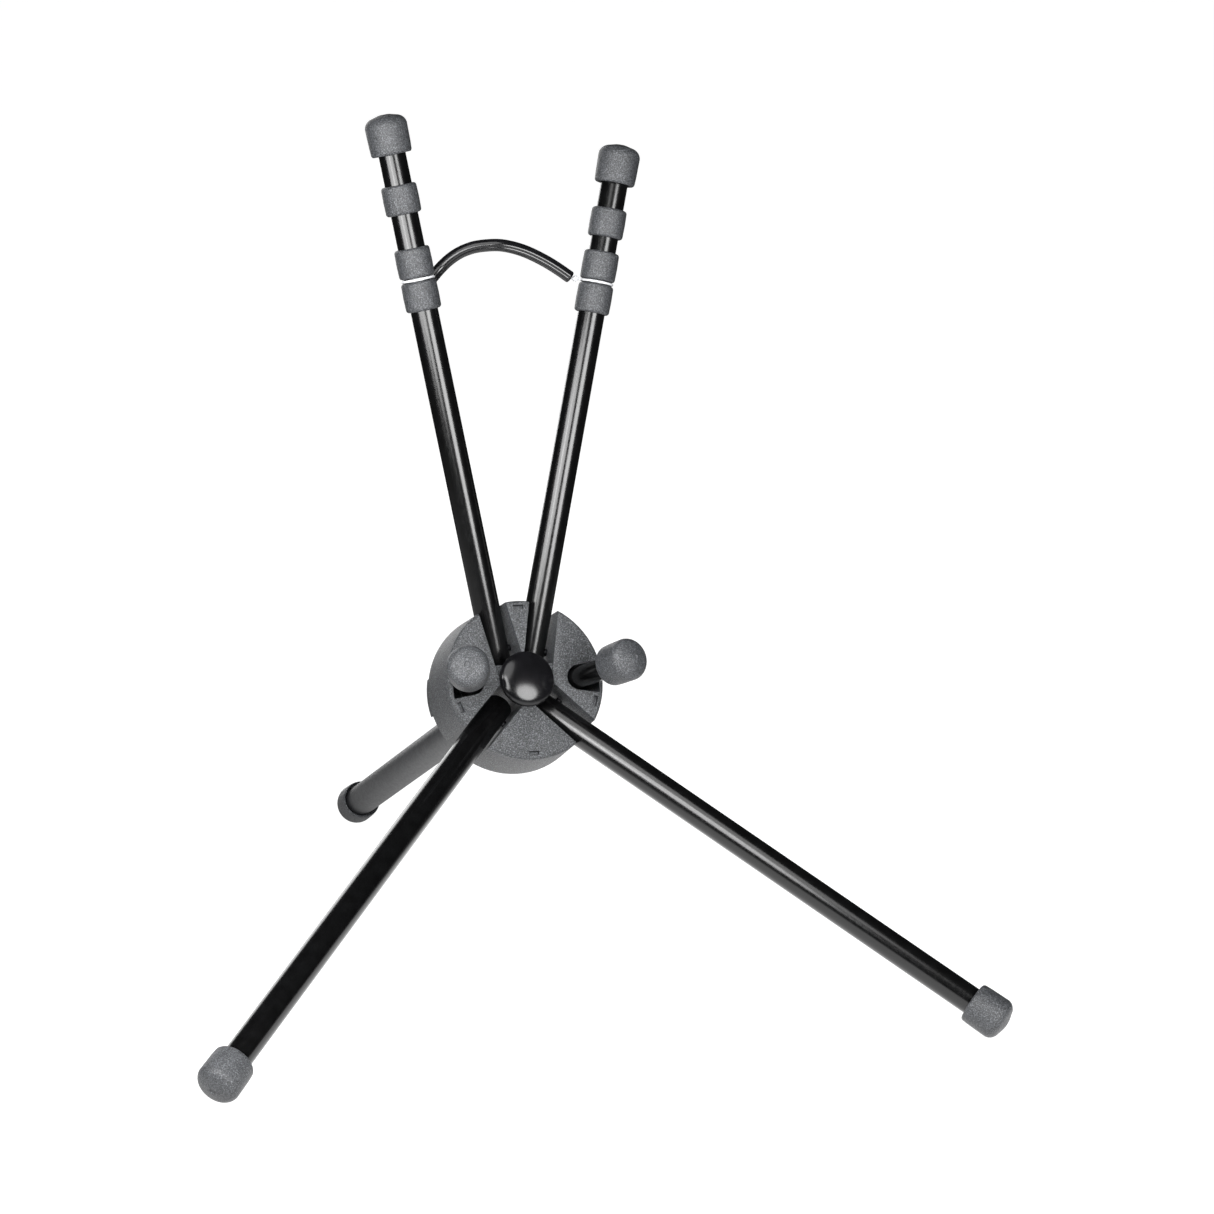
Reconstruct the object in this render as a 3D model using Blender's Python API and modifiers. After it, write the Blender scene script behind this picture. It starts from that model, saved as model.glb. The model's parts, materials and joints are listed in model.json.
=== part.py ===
"""Folding saxophone stand, built as separate pieces.

Five steel tubes meet in a round plastic hub. The rear leg runs straight back along the hub's axis.
Two front legs and two upper arms hinge in open channels of the hub and fold back around the rear leg.
Two short pegs on the hub's face carry the instrument's bow. The script works in metres, with +X to
the stand's right, +Y to its back and +Z up. The hub's own frame has Z along its axis, towards the
player, and Y up its face.
"""

import math

import bmesh
import bpy
from mathutils import Matrix, Vector

# ---------------------------------------------------------------- driving dimensions
GAP = 0.0003  # between pieces that touch
MERGE = 0.00001
SIDES = 24  # of a turned piece
HUB_SIDES = 72
SKEW = 3.1
OFFSET = 0.0001  # keeps two flat faces from lying in one plane
THROUGH = 0.06  # longer than anything that a cutter passes through

HUB_TILT = 24.9  # degrees that the hub's face looks up
HUB_RADIUS = 0.0366  # at the rear edge, from which the rim narrows to the face
FACE_RADIUS = 0.0354
FACE_Z = 0.0150  # the face, in front of the plane of the tubes' hinges
BACK_Z = -0.0120  # the front shell's rear edge
RIM_CHAMFER = 0.0008
RIM_WALL = 0.0016
WALL = 0.0022  # beside the channels
PLATE = 0.0025  # thickness of the hub's face and of its cover
CORE_RADIUS = 0.0083
CORE_BACK_Z = -0.0087
KEPT_CORE_RADIUS = 0.0135
FLANGE_DROP = 0.0002
WEB_DROP = 0.0008  # from the face to the webs beside the core
WEB_BACK_Z = -0.0082
FLANGE_RADIUS = 0.0106

TUBE_RADIUS = 0.0060
TUBE_WALL = 0.0010
INNER_END = 0.0062  # how far a tube runs on past its hinge, under the centre cap
CHANNEL_HALF = 0.0068
CHANNEL_REACH = 0.0250  # how far a channel runs inwards past the hinge

# base is where the tube's axis crosses the hinge plane, lean is out of that plane
ARM_BASE = (0.0072, 0.01055)
ARM_SPLAY = 11.95
ARM_LEAN = 17.3
ARM_HINGE = 0.0055  # from the base to the hinge, along the plane
LEG_BASE = (0.0072, -0.00637)
LEG_SPLAY = 44.5
LEG_LEAN = 20.6
LEG_HINGE = 0.0085

LEFT_ARM_TIP = 0.2437  # from the base to the rubber cap's end
RIGHT_ARM_TIP = 0.2312
LEG_TIP = 0.2500
UPPER_RING = {"left": 0.2066, "right": 0.1962}
CORD_GROOVE = {"left": 0.1718, "right": 0.1698}
GROOVE_WIDTH = 0.0017

CAP_RADIUS = 0.0093
CAP_LENGTH = 0.0175
CAP_FLOOR = 0.0030
RING_RADIUS = 0.00785
RING_LENGTH = 0.0128

PEG_RADIUS = 0.00475
PEG_ELEVATION = 71.6  # degrees above the hub's face
PEG_HINGE = (0.0196, -0.0020)  # radius and depth in the hub
PEG_TIP = 0.0573
PEG_INNER_END = 0.0038
PEG_SLOT_HALF = 0.0057
PEG_SLOT_START = 0.0190
PEG_SLOT_END = 0.0334
PEG_SLOT_END_HALF = 0.0072
PEG_ROOM_RADIUS = 0.0054
PEG_ROOM_CENTRE = 0.0186
PEG_ROOM_DROP = 0.0002
PEG_WALL = 0.0014

REAR_RADIUS = 0.0076
REAR_CAP_RADIUS = 0.0099
REAR_CAP_LENGTH = 0.0180
SOCKET_RADIUS = 0.0102
SOCKET_FLOOR_Z = -0.0092
SOCKET_END_Z = -0.0300
RIB_HALF = 0.0009  # of the ribs between the socket and the cover
RIB_REACH = 0.0262
RIB_STEP = 0.0008
RIB_END_Z = -0.0272
INSERT_LENGTH = 0.0150
CONTACT_DEPTH = 0.0004  # how deep each foot is pressed flat

PIN_RADIUS = 0.0015
PIN_BEYOND = 0.0022  # how far a pin runs into the wall beside its channel
PEG_PIN_BEYOND = 0.0014
SHORT_BEYOND = 0.0011  # in the thin walls between the arms and beside the pegs
GROOVE_HALF = PIN_RADIUS + GAP
POST_HALF = 0.0014

SCREW_RADIUS = 0.0030
SCREW_HEAD_RADIUS = 0.0050
SCREW_HEAD_Z = (0.0087, 0.0122)
SCREW_END_Z = -0.0240
DOME_RADIUS = 0.0122
DOME_HEIGHT = 0.0044
DOME_LIP = 0.0012

TAB_RADIUS = 0.0326
TAB_ANGLES = (90.0, -19.5, 199.5, 270.0)
TAB_HALF_WIDTH = 0.0021
TAB_HALF_THICK = 0.0006
TAB_TOP_Z = 0.0139
COVER_RADIUS = 0.0333
LOBE_RADIUS = 0.0359
LOBE_HALF_ANGLE = 13.5
LOBE_BACK_Z = -0.0170
LOBE_INNER_RADIUS = 0.0293

SLEEVE_RADIUS = 0.0027
LOOP_CORD_RADIUS = 0.00055
KNOT_RADIUS = 0.0014
# the sleeve's arch, as x and rise from the middle of the left groove, and depth in front of the arms
SLEEVE_ROUTE = (
    (0.0084, 0.0001, -0.0082),
    (0.0109, 0.0027, -0.0088),
    (0.0145, 0.0066, -0.0082),
    (0.0198, 0.0109, -0.0062),
    (0.0266, 0.0137, -0.0036),
    (0.0332, 0.0145, -0.0014),
    (0.0392, 0.0143, 0.0004),
    (0.0465, 0.0125, 0.0010),
    (0.0530, 0.0099, 0.0012),
    (0.0612, 0.0056, 0.0012),
    (0.0692, 0.0004, 0.0010),
)
SLEEVE_POINTS = 13

# ---------------------------------------------------------------- scene and materials
for old in list(bpy.data.objects):
    bpy.data.objects.remove(old, do_unlink=True)

stand = bpy.data.collections.new("saxophone_stand")
cutters = bpy.data.collections.new("cutters")
bpy.context.scene.collection.children.link(stand)
bpy.context.scene.collection.children.link(cutters)


def make_material(name, colour, roughness, metallic=0.0):
    material = bpy.data.materials.new(name)
    material.use_nodes = True
    shader = material.node_tree.nodes["Principled BSDF"]
    shader.inputs["Base Color"].default_value = (*colour, 1.0)
    shader.inputs["Roughness"].default_value = roughness
    shader.inputs["Metallic"].default_value = metallic
    return material


BLACK_STEEL = make_material("black_enamelled_steel", (0.012, 0.012, 0.013), 0.22)
GREY_STEEL = make_material("grey_enamelled_steel", (0.085, 0.088, 0.095), 0.45)
HUB_PLASTIC = make_material("grained_hub_plastic", (0.075, 0.078, 0.084), 0.62)
GLOSS_PLASTIC = make_material("gloss_cap_plastic", (0.010, 0.010, 0.011), 0.12)
RUBBER = make_material("grained_rubber", (0.080, 0.083, 0.090), 0.70)
ZINC = make_material("zinc_plated_steel", (0.55, 0.56, 0.58), 0.35, 1.0)
NYLON = make_material("plug_nylon", (0.020, 0.020, 0.021), 0.50)
VINYL = make_material("black_vinyl_sleeve", (0.010, 0.010, 0.011), 0.18)
CLEAR_CORD = make_material("clear_cord", (0.78, 0.79, 0.80), 0.30)


# ---------------------------------------------------------------- making objects
def add_object(name, mesh, parent, material=None, collection=stand):
    thing = bpy.data.objects.new(name, mesh)
    collection.objects.link(thing)
    thing.parent = parent
    if material:
        mesh.materials.append(material)
    return thing


def add_frame(name, matrix, parent=None):
    """An empty that other objects are placed from, given its matrix under its parent."""
    empty = bpy.data.objects.new(name, None)
    empty.empty_display_size = 0.01
    stand.objects.link(empty)
    empty.parent = parent
    empty.matrix_local = matrix
    return empty


def mesh_from(shape, smooth=True):
    mesh = bpy.data.meshes.new("shape")
    shape.to_mesh(mesh)
    shape.free()
    if smooth:
        mesh.shade_smooth()
        mesh.set_sharp_from_angle(angle=math.radians(35))
    return mesh


def box(name, low, high, parent, material=None, collection=stand):
    """A box between two corners of its parent's frame."""
    low, high = Vector(low), Vector(high)
    shape = bmesh.new()
    size = high - low
    place = Matrix.Translation((low + high) / 2) @ Matrix.Diagonal((*size, 1.0))
    bmesh.ops.create_cube(shape, size=1.0, matrix=place)
    return add_object(name, mesh_from(shape, smooth=False), parent, material, collection)


def rod(name, start, end, radius, parent, material=None, collection=stand, sides=SIDES):
    """A solid cylinder between two points of its parent's frame."""
    start, end = Vector(start), Vector(end)
    along = end - start
    turn = along.to_track_quat("Z", "Y").to_matrix().to_4x4()
    shape = bmesh.new()
    bmesh.ops.create_cone(
        shape,
        cap_ends=True,
        segments=sides,
        radius1=radius,
        radius2=radius,
        depth=along.length,
        matrix=Matrix.Translation((start + end) / 2) @ turn,
    )
    return add_object(name, mesh_from(shape), parent, material, collection)


def prism(name, outline, low, high, parent, collection=stand, along_x=False):
    """An outline drawn in XY and raised along Z, or drawn in YZ and raised along X."""
    shape = bmesh.new()
    corners = [(low, p, q) if along_x else (p, q, low) for p, q in outline]
    base = shape.faces.new([shape.verts.new(corner) for corner in corners])
    raised = bmesh.ops.extrude_face_region(shape, geom=[base])
    moved = [item for item in raised["geom"] if isinstance(item, bmesh.types.BMVert)]
    rise = high - low
    bmesh.ops.translate(shape, verts=moved, vec=(rise, 0, 0) if along_x else (0, 0, rise))
    bmesh.ops.recalc_face_normals(shape, faces=shape.faces)
    return add_object(name, mesh_from(shape, smooth=False), parent, collection=collection)


def turned(name, profile, parent, material=None, collection=stand, closed=False, sides=SIDES):
    """A shape turned about its frame's Z axis, from (radius, z) points that run down its outer side."""
    shape = bmesh.new()
    points = [shape.verts.new((radius, 0.0, z)) for radius, z in profile]
    pairs = list(zip(points, points[1:]))
    if closed:
        pairs.append((points[-1], points[0]))
    for first, second in pairs:
        shape.edges.new((first, second))
    mesh = bpy.data.meshes.new("profile")
    shape.to_mesh(mesh)
    shape.free()
    thing = add_object(name, mesh, parent, material, collection)
    screw = thing.modifiers.new("turn", "SCREW")
    screw.axis = "Z"
    screw.steps = sides
    screw.render_steps = sides
    screw.use_merge_vertices = True
    screw.merge_threshold = MERGE
    screw.use_smooth_shade = True
    return thing


def arc(centre, radius, start, end, count):
    """Points of a round corner, as (radius, z) pairs, from one angle to another in degrees."""
    angles = [math.radians(start + (end - start) * i / count) for i in range(count + 1)]
    return [(centre[0] + radius * math.cos(t), centre[1] + radius * math.sin(t)) for t in angles]


def as_cutter(thing):
    thing.hide_render = True
    thing.display_type = "WIRE"
    return thing


def combine(target, tool, operation):
    step = target.modifiers.new(tool.name, "BOOLEAN")
    step.operation = operation
    step.object = tool
    step.solver = "EXACT"


def cut(target, *tools):
    for tool in tools:
        combine(target, tool, "DIFFERENCE")


def join(target, *tools):
    for tool in tools:
        combine(target, tool, "UNION")


def cut_box(name, low, high, parent):
    return as_cutter(box(name, low, high, parent, collection=cutters))


def cut_prism(name, outline, low, high, parent, along_x=False):
    return as_cutter(prism(name, outline, low, high, parent, cutters, along_x))


def cut_rod(name, start, end, radius, parent, sides=SIDES):
    return as_cutter(rod(name, start, end, radius, parent, collection=cutters, sides=sides))


# ---------------------------------------------------------------- frames
def tube_direction(side, splay, lean, upward):
    """A tube's direction in the hub's frame, from its splay across the face and its lean forwards."""
    splay, lean = math.radians(splay), math.radians(lean)
    flat = Vector((side * math.sin(splay), upward * math.cos(splay), 0.0))
    return flat * math.cos(lean) + Vector((0.0, 0.0, math.sin(lean)))


def hinge_matrix(place, direction):
    """A hinge frame: Z along the tube, and X the axis about which a positive turn folds it back."""
    axis = direction.cross(Vector((0.0, 0.0, -1.0))).normalized()
    turn = Matrix((axis, direction.cross(axis), direction)).transposed().to_4x4()
    return Matrix.Translation(place) @ turn


def plane_matrix(place, direction):
    """The same hinge's frame in the hub: X along the axis, Y out along the channel, Z forwards."""
    outward = Vector((direction.x, direction.y, 0.0)).normalized()
    across = outward.cross(Vector((0.0, 0.0, 1.0)))
    turn = Matrix((across, outward, Vector((0.0, 0.0, 1.0)))).transposed().to_4x4()
    return Matrix.Translation(place) @ turn


tilt = math.radians(HUB_TILT)
hub_turn = Matrix.Rotation(math.pi / 2 - tilt, 4, "X")
hub = add_frame("hub_frame", hub_turn)
# round cutters are turned a little, so that their corners miss the edges of the faces they cut
skew = add_frame("cutter_frame", Matrix.Rotation(math.radians(SKEW), 4, "Z"), hub)
SIDE_SIGN = {"left": -1, "right": 1}
hinges = {}
channels = {}
hinge_depths = {}
for side, sign in SIDE_SIGN.items():
    for kind, base, splay, lean, reach, upward in (
        ("arm", ARM_BASE, ARM_SPLAY, ARM_LEAN, ARM_HINGE, 1),
        ("leg", LEG_BASE, LEG_SPLAY, LEG_LEAN, LEG_HINGE, -1),
    ):
        way = tube_direction(sign, splay, lean, upward)
        flat = Vector((way.x, way.y, 0.0)).normalized()
        # the hinge lies on the tube's own axis, in front of the plane that the base is in
        along = reach / math.cos(math.radians(lean))
        at = Vector((sign * base[0], base[1], 0.0)) + way * along
        hinges[side, kind] = add_frame(f"{side}_{kind}_hinge", hinge_matrix(at, way), hub)
        channels[side, kind] = add_frame(f"{side}_{kind}_channel", plane_matrix(at, way), hub)
        hinge_depths[kind] = at.z
    elevation = math.radians(PEG_ELEVATION)
    way = Vector((sign * math.cos(elevation), 0.0, math.sin(elevation)))
    at = Vector((sign * PEG_HINGE[0], 0.0, PEG_HINGE[1]))
    hinges[side, "peg"] = add_frame(f"{side}_peg_hinge", hinge_matrix(at, way), hub)
    channels[side, "peg"] = add_frame(f"{side}_peg_channel", plane_matrix(at, way), hub)
    hinge_depths["peg"] = at.z


# ---------------------------------------------------------------- rubber pieces
def cup_profile(outer, length, bore, floor, mouth=0.0006):
    """A rubber cup's outline: its closed end is at z = 0 and its mouth faces down the tube."""
    corner = outer * 0.42
    crown = arc((outer - corner, -corner - outer * 0.10), corner, 90, 10, 3)
    rim_corner = outer * 0.13
    return [
        (0.0, 0.0),
        (outer * 0.32, -outer * 0.02),
        *crown,
        (outer, -length * 0.52),
        (outer * 0.955, -length + rim_corner),
        (outer * 0.955 - rim_corner * 0.6, -length),
        (bore + mouth, -length),
        (bore, -length + mouth * 2),
        (bore, -floor),
        (0.0, -floor),
    ]


def rubber_cup(name, outer, length, bore, tip, parent):
    """A cup pushed over a tube's end, with its closed end at a distance up the parent's Z axis."""
    profile = [(radius, z + tip) for radius, z in cup_profile(outer, length, bore, CAP_FLOOR)]
    return turned(name, profile, parent, RUBBER)


def ring_profile(middle):
    low, high = middle - RING_LENGTH / 2, middle + RING_LENGTH / 2
    corner = RING_RADIUS * 0.14
    bore = TUBE_RADIUS + GAP
    return [
        (bore, high),
        (RING_RADIUS - corner, high),
        (RING_RADIUS, high - corner),
        (RING_RADIUS, low + corner),
        (RING_RADIUS - corner, low),
        (bore, low),
    ]


def rubber_ring(name, middle, parent):
    return turned(name, ring_profile(middle), parent, RUBBER, closed=True)


# ---------------------------------------------------------------- tubes
def tube(name, start, end, outer, wall, parent, material):
    profile = [(outer, end), (outer, start), (outer - wall, start), (outer - wall, end)]
    return turned(name, profile, parent, material, closed=True)


def hinged_tube(name, inner_end, end, outer, parent, material):
    """A tube that runs through its hinge, with a nylon plug in its inner end, both bored for the pin."""
    body = tube(f"{name}_tube", -inner_end, end, outer, TUBE_WALL, parent, material)
    plug_radius = outer - TUBE_WALL - GAP
    plug = rod(
        f"{name}_hinge_plug",
        (0.0, 0.0, -inner_end + GAP),
        (0.0, 0.0, outer * 1.3),
        plug_radius,
        parent,
        NYLON,
    )
    reach = outer * 2
    bore = cut_rod(
        f"{name}_pin_bore", (-reach, 0.0, 0.0), (reach, 0.0, 0.0), GROOVE_HALF, parent, sides=12
    )
    cut(body, bore)
    cut(plug, bore)


ARM_TIPS = {"left": LEFT_ARM_TIP, "right": RIGHT_ARM_TIP}
arm_shift = ARM_HINGE / math.cos(math.radians(ARM_LEAN))
leg_shift = LEG_HINGE / math.cos(math.radians(LEG_LEAN))
bore_radius = TUBE_RADIUS + GAP
foot_caps = []
for side in SIDE_SIGN:
    frame = hinges[side, "arm"]
    tip = ARM_TIPS[side] - arm_shift
    hinged_tube(
        f"{side}_arm", INNER_END, tip - CAP_FLOOR - GAP, TUBE_RADIUS, frame, BLACK_STEEL
    )
    rubber_cup(f"{side}_arm_end_cap", CAP_RADIUS, CAP_LENGTH, bore_radius, tip, frame)
    groove = CORD_GROOVE[side] - arm_shift
    ring_offset = (GROOVE_WIDTH + RING_LENGTH) / 2
    rubber_ring(f"{side}_upper_ring", UPPER_RING[side] - arm_shift, frame)
    rubber_ring(f"{side}_middle_ring", groove + ring_offset, frame)
    rubber_ring(f"{side}_lower_ring", groove - ring_offset, frame)

    frame = hinges[side, "leg"]
    tip = LEG_TIP - leg_shift
    hinged_tube(
        f"{side}_leg", INNER_END, tip - CAP_FLOOR - GAP, TUBE_RADIUS, frame, BLACK_STEEL
    )
    foot_caps.append(
        rubber_cup(f"{side}_foot_cap", CAP_RADIUS, CAP_LENGTH, bore_radius, tip, frame)
    )

    frame = hinges[side, "peg"]
    hinged_tube(
        f"{side}_peg", PEG_INNER_END, PEG_TIP - CAP_FLOOR - GAP, PEG_RADIUS, frame, BLACK_STEEL
    )
    rubber_cup(
        f"{side}_peg_cap", CAP_RADIUS, CAP_LENGTH, PEG_RADIUS + GAP, PEG_TIP, frame
    )


# ---------------------------------------------------------------- rear leg
def lowest(profile, climb):
    """How far below its frame's origin a turned shape reaches when its axis climbs by that sine."""
    spread = math.sqrt(1.0 - climb * climb)
    return max(radius * spread - z * climb for radius, z in profile)


up = hub_turn.inverted() @ Vector((0.0, 0.0, 1.0))
leg_way = tube_direction(1, LEG_SPLAY, LEG_LEAN, -1)
leg_base = Vector((LEG_BASE[0], LEG_BASE[1], 0.0))
leg_cup = [
    (radius, z + LEG_TIP)
    for radius, z in cup_profile(CAP_RADIUS, CAP_LENGTH, bore_radius, CAP_FLOOR)
]
HUB_HEIGHT = lowest(leg_cup, leg_way.dot(up)) - leg_base.dot(up) - CONTACT_DEPTH
rear_cup = cup_profile(REAR_CAP_RADIUS, REAR_CAP_LENGTH, REAR_RADIUS + GAP, CAP_FLOOR)
rear_climb = -math.sin(tilt)
REAR_TIP = (HUB_HEIGHT + CONTACT_DEPTH - lowest(rear_cup, rear_climb)) / math.sin(tilt)

rear = add_frame("rear_leg_frame", Matrix.Rotation(math.pi, 4, "X"), hub)
rear_start = -SOCKET_FLOOR_Z + PLATE + GAP
tube(
    "rear_leg_tube",
    rear_start,
    REAR_TIP - CAP_FLOOR - GAP,
    REAR_RADIUS,
    TUBE_WALL,
    rear,
    GREY_STEEL,
)
foot_caps.append(
    turned("rear_foot_cap", [(r, z + REAR_TIP) for r, z in rear_cup], rear, RUBBER)
)
insert = rod(
    "rear_leg_insert",
    (0.0, 0.0, rear_start + GAP),
    (0.0, 0.0, rear_start + INSERT_LENGTH),
    REAR_RADIUS - TUBE_WALL - GAP,
    rear,
    ZINC,
)
screw_way = cut_rod(
    "screw_way", (0.0, 0.0, THROUGH), (0.0, 0.0, -THROUGH), SCREW_RADIUS + GAP, skew
)
cut(insert, screw_way)

# each foot is pressed flat where it stands
floor_place = hub_turn.inverted() @ Matrix.Translation((0.0, 0.0, -HUB_HEIGHT))
ground = add_frame("ground_frame", floor_place, hub)
far = REAR_TIP * 2
floor_block = cut_box("floor_block", (-far, -far, -THROUGH), (far, far, 0.0), ground)
for foot in foot_caps:
    cut(foot, floor_block)

# ---------------------------------------------------------------- hub: cutters for both shells
# the bodies that stand in the middle of the channels
flange_top = FACE_Z - FLANGE_DROP
core_profile = [
    (0.0, flange_top),
    (FLANGE_RADIUS, flange_top),
    (FLANGE_RADIUS, flange_top - PLATE),
    (CORE_RADIUS, flange_top - PLATE),
    (CORE_RADIUS, CORE_BACK_Z),
    (0.0, CORE_BACK_Z),
]
core = as_cutter(turned("core", core_profile, skew, collection=cutters))
WEBS = {
    "left": ((-0.0150, -0.0026), (-0.0060, 0.0069)),
    "right": ((0.0060, -0.0026), (0.0150, 0.0069)),
    "top": ((-0.0006, 0.0060), (0.0006, 0.0150)),
    "bottom": ((-0.0015, -0.0150), (0.0015, -0.0060)),
}


def webs(label, low, high):
    """Webs from the middle out to the sectors, from one depth to another."""
    return [
        cut_box(f"{name}_{label}_web", (*first, low), (*last, high), hub)
        for name, (first, last) in WEBS.items()
    ]


def channel_cut(label):
    """The four channels as one cutter; each is a little deeper than the last."""
    boxes = []
    for (side, kind), frame in channels.items():
        if kind != "peg":
            depth = THROUGH * (1.0 + 0.05 * len(boxes))
            low, high = (-CHANNEL_HALF, -CHANNEL_REACH, -depth), (CHANNEL_HALF, depth, depth)
            boxes.append(cut_box(f"{side}_{kind}_{label}_channel", low, high, frame))
    join(boxes[0], *boxes[1:])
    return boxes[0]


def peg_room(side, grow, label):
    """Cutters for one peg: the room for its inner end, and the flared slot in the face."""
    turn = Matrix.Rotation(0.0 if side == "right" else math.pi, 4, "Z")
    frame = add_frame(f"{side}_peg_{label}", turn, hub)
    centre = PEG_SLOT_START + PEG_SLOT_HALF
    end, end_half = PEG_SLOT_END + grow, PEG_SLOT_END_HALF + grow
    slot = arc((centre, 0.0), PEG_SLOT_HALF + grow, 95, 265, 13)
    slot += [(end, -end_half), (end, end_half)]
    room = arc((PEG_ROOM_CENTRE, 0.0), PEG_ROOM_RADIUS + grow, 90, 270, 13)
    room += [(centre, -PEG_ROOM_RADIUS - grow), (centre, PEG_ROOM_RADIUS + grow)]
    room_top = FACE_Z - PLATE - PEG_ROOM_DROP if grow == 0.0 else THROUGH * 0.9
    return [
        cut_prism(f"{side}_{label}_room", room, -THROUGH, room_top, frame),
        cut_prism(f"{side}_{label}_slot", slot, -THROUGH * 1.1, THROUGH, frame),
    ]


peg_cuts = {side: peg_room(side, 0.0, "slot") for side in SIDE_SIGN}

# ---------------------------------------------------------------- hub: front shell
front_profile = [
    (0.0, FACE_Z),
    (FACE_RADIUS - RIM_CHAMFER, FACE_Z),
    (FACE_RADIUS, FACE_Z - RIM_CHAMFER),
    (HUB_RADIUS, BACK_Z),
    (0.0, BACK_Z),
]
front = turned("hub_front_shell", front_profile, hub, HUB_PLASTIC, sides=HUB_SIDES)
front_channels = channel_cut("front")
cut(front_channels, core, *webs("front", WEB_BACK_Z, FACE_Z - WEB_DROP))
cut(front, front_channels)

# hollow sectors behind the face, which leave a wall along the rim and along every channel
hollow_profile = [
    (0.0, FACE_Z - PLATE),
    (FACE_RADIUS - RIM_WALL, FACE_Z - PLATE),
    (FACE_RADIUS - RIM_WALL, -THROUGH),
    (0.0, -THROUGH),
]
hollow = as_cutter(
    turned("sector_hollow", hollow_profile, skew, collection=cutters, sides=HUB_SIDES)
)
kept_core = cut_rod(
    "kept_core", (0.0, 0.0, THROUGH), (0.0, 0.0, -THROUGH * 1.1), KEPT_CORE_RADIUS, skew
)
cut(hollow, kept_core)
for (side, kind), frame in channels.items():
    if kind == "peg":
        continue
    kept_wall = cut_box(
        f"{side}_{kind}_kept_wall",
        (-CHANNEL_HALF - WALL, -CHANNEL_REACH, -THROUGH),
        (CHANNEL_HALF + WALL, THROUGH, THROUGH),
        frame,
    )
    cut(hollow, kept_wall)
for side in SIDE_SIGN:
    cut(hollow, *peg_room(side, PEG_WALL, "kept"))
cut(front, hollow)
socket_clearance = cut_rod(
    "socket_clearance",
    (0.0, 0.0, SOCKET_FLOOR_Z + GAP),
    (0.0, 0.0, -THROUGH),
    SOCKET_RADIUS + GAP,
    skew,
)
cut(front, socket_clearance)

bore_profile = [
    (0.0, THROUGH),
    (SCREW_HEAD_RADIUS + GAP, THROUGH),
    (SCREW_HEAD_RADIUS + GAP, SCREW_HEAD_Z[0] - GAP),
    (SCREW_RADIUS + GAP, SCREW_HEAD_Z[0] - GAP),
    (SCREW_RADIUS + GAP, -THROUGH),
    (0.0, -THROUGH),
]
screw_bore = as_cutter(turned("screw_bore", bore_profile, skew, collection=cutters))
cut(front, screw_bore)
for side in SIDE_SIGN:
    cut(front, *peg_cuts[side])

# windows in the face, through which the cover's snap tabs show
tabs = []
for number, angle in enumerate(TAB_ANGLES):
    spot = add_frame(f"tab_{number}_frame", Matrix.Rotation(math.radians(angle), 4, "Z"), hub)
    window = cut_box(
        f"tab_{number}_window",
        (TAB_RADIUS - TAB_HALF_THICK - GAP, -TAB_HALF_WIDTH - GAP, 0.0),
        (TAB_RADIUS + TAB_HALF_THICK + GAP, TAB_HALF_WIDTH + GAP, THROUGH),
        spot,
    )
    cut(front, window)
    tabs.append(
        cut_box(
            f"tab_{number}",
            (TAB_RADIUS - TAB_HALF_THICK, -TAB_HALF_WIDTH, BACK_Z - GAP - PLATE / 2),
            (TAB_RADIUS + TAB_HALF_THICK, TAB_HALF_WIDTH, TAB_TOP_Z),
            spot,
        )
    )

# ---------------------------------------------------------------- hinge pins, their grooves and posts
posts = []
for (side, kind), frame in channels.items():
    half = PEG_SLOT_HALF if kind == "peg" else CHANNEL_HALF
    reach = half + (PEG_PIN_BEYOND if kind == "peg" else PIN_BEYOND)
    ends = [-reach, reach]
    thin_wall = None
    if kind != "peg":
        thin_wall = 0 if side == "right" else 1
        ends[thin_wall] = math.copysign(half + SHORT_BEYOND, ends[thin_wall])
    rod(
        f"{side}_{kind}_hinge_pin",
        (ends[0], 0.0, 0.0),
        (ends[1], 0.0, 0.0),
        PIN_RADIUS,
        frame,
        ZINC,
        sides=12,
    )
    keyhole = arc((0.0, 0.0), GROOVE_HALF, 0, 180, 6)
    keyhole += [(-GROOVE_HALF, -THROUGH), (GROOVE_HALF, -THROUGH)]
    groove = cut_prism(
        f"{side}_{kind}_groove", keyhole, ends[0] - GAP, ends[1] + GAP, frame, along_x=True
    )
    cut(front, groove)
    for number, end in enumerate(ends):
        if number == thin_wall:
            continue
        near = math.copysign(half + GAP, end)
        low, high = sorted((near, end))
        foot_z = BACK_Z - GAP - PLATE / 2 - hinge_depths[kind]
        post = f"{side}_{kind}_post_{number}"
        posts.append(
            cut_box(post, (low, -POST_HALF, foot_z), (high, POST_HALF, -GROOVE_HALF), frame)
        )


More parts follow.
